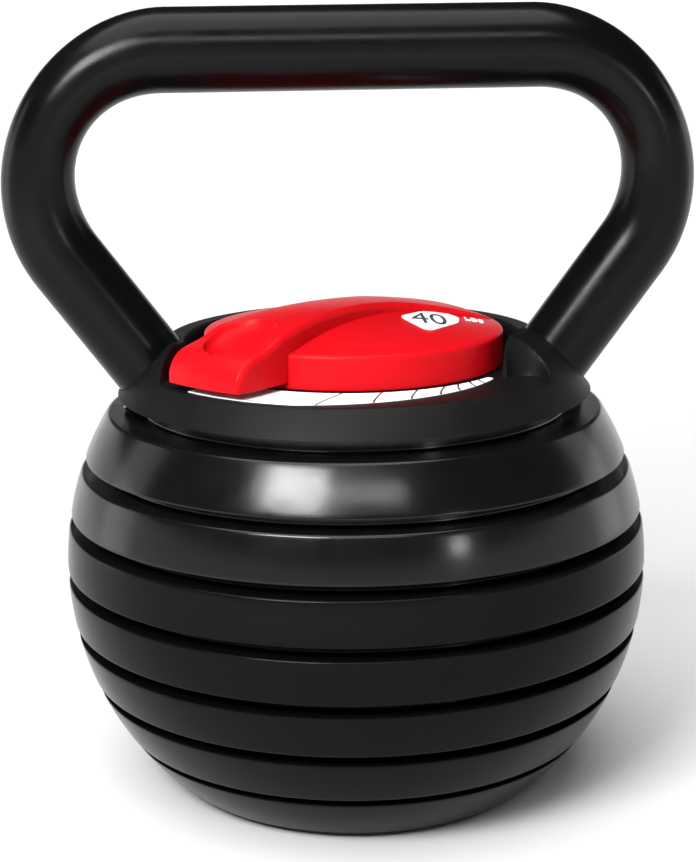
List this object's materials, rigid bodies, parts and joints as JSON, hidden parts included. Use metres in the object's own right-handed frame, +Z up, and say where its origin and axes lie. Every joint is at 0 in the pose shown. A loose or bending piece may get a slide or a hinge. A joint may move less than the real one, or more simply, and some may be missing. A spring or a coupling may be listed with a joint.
{
  "type": "adjustable kettlebell",
  "caption": "Adjustable dial kettlebell: round ringed iron ball with a tube handle, a red selector dial in the top and loose weight plates locked by a cam shaft.",
  "frame": {"origin": "on the ball's vertical axis, at the surface that the rubber foot stands on", "axes": "+Z up along the ball's axis, X along the handle's grip, -Y towards the front, the side where the printed scale is"},
  "size_m": [0.2536, 0.2184, 0.2908],
  "materials": {
    "handle_paint": "satin black powder coat",
    "iron_gloss": "gloss black paint over cast iron",
    "cover_plastic": "satin black moulded plastic with fine spark texture",
    "dial_red": "satin red moulded plastic",
    "print_white": "white printed label with dark lines",
    "machined_steel": "turned and milled steel",
    "zinc_steel": "bright zinc plate",
    "spring_steel": "oiled spring steel",
    "bronze": "sintered bronze",
    "foot_rubber": "matt black rubber"
  },
  "bodies": {
    "bottom_plate": {"weight_plate_6": "iron_gloss", "base_pad": "foot_rubber"},
    "plate_5": {"weight_plate_5": "iron_gloss"},
    "plate_4": {"weight_plate_4": "iron_gloss"},
    "plate_3": {"weight_plate_3": "iron_gloss"},
    "plate_2": {"weight_plate_2": "iron_gloss"},
    "plate_1": {"weight_plate_1": "iron_gloss"},
    "head": {"handle_tube": "handle_paint", "handle_bolt_left": "zinc_steel", "handle_bolt_right": "zinc_steel", "leg_plug_left": "machined_steel", "leg_plug_right": "machined_steel", "head_casting": "iron_gloss", "top_cover": "cover_plastic", "cover_screw_1": "zinc_steel", "cover_screw_2": "zinc_steel", "cover_screw_3": "zinc_steel", "cover_screw_4": "zinc_steel", "weight_scale": "print_white", "hub_bush": "bronze", "detent_screw": "zinc_steel", "detent_spring": "spring_steel"},
    "selector": {"dial": "dial_red", "dial_grip": "dial_red", "grip_screw_1": "zinc_steel", "grip_screw_2": "zinc_steel", "dial_screw": "zinc_steel", "capacity_badge": "print_white", "drive_hub": "machined_steel", "retaining_ring": "spring_steel", "selector_shaft": "machined_steel", "selector_cam_1": "machined_steel", "selector_cam_2": "machined_steel", "selector_cam_3": "machined_steel", "selector_cam_4": "machined_steel", "selector_cam_5": "machined_steel", "selector_cam_6": "machined_steel", "cam_spacer_1": "zinc_steel", "cam_spacer_2": "zinc_steel", "cam_spacer_3": "zinc_steel", "cam_spacer_4": "zinc_steel", "cam_spacer_5": "zinc_steel", "cam_spacer_6": "zinc_steel", "shaft_washer": "zinc_steel", "shaft_nut": "zinc_steel"},
    "plunger": {"detent_plunger": "machined_steel"}
  },
  "joints": [
    {"name": "plate_5_lift", "type": "slide", "parent": "bottom_plate", "child": "plate_5", "axis": [0, 0, 1], "range_m": [0, 0.0208]},
    {"name": "plate_4_lift", "type": "slide", "parent": "plate_5", "child": "plate_4", "axis": [0, 0, 1], "range_m": [0, 0.0208]},
    {"name": "plate_3_lift", "type": "slide", "parent": "plate_4", "child": "plate_3", "axis": [0, 0, 1], "range_m": [0, 0.0208]},
    {"name": "plate_2_lift", "type": "slide", "parent": "plate_3", "child": "plate_2", "axis": [0, 0, 1], "range_m": [0, 0.0208]},
    {"name": "plate_1_lift", "type": "slide", "parent": "plate_2", "child": "plate_1", "axis": [0, 0, 1], "range_m": [0, 0.0208]},
    {"name": "head_lift", "type": "slide", "parent": "plate_1", "child": "head", "axis": [0, 0, 1], "range_m": [0, 0.1456]},
    {"name": "dial_turn", "type": "hinge", "parent": "head", "child": "selector", "pos_m": [0, 0, 0.1673], "axis": [0, 0, 1], "range_deg": [0, 81]},
    {"name": "detent_travel", "type": "slide", "parent": "head", "child": "plunger", "axis": [0, -1, 0], "range_m": [0, 0.0011], "stiffness_N_per_m": 300}
  ]
}
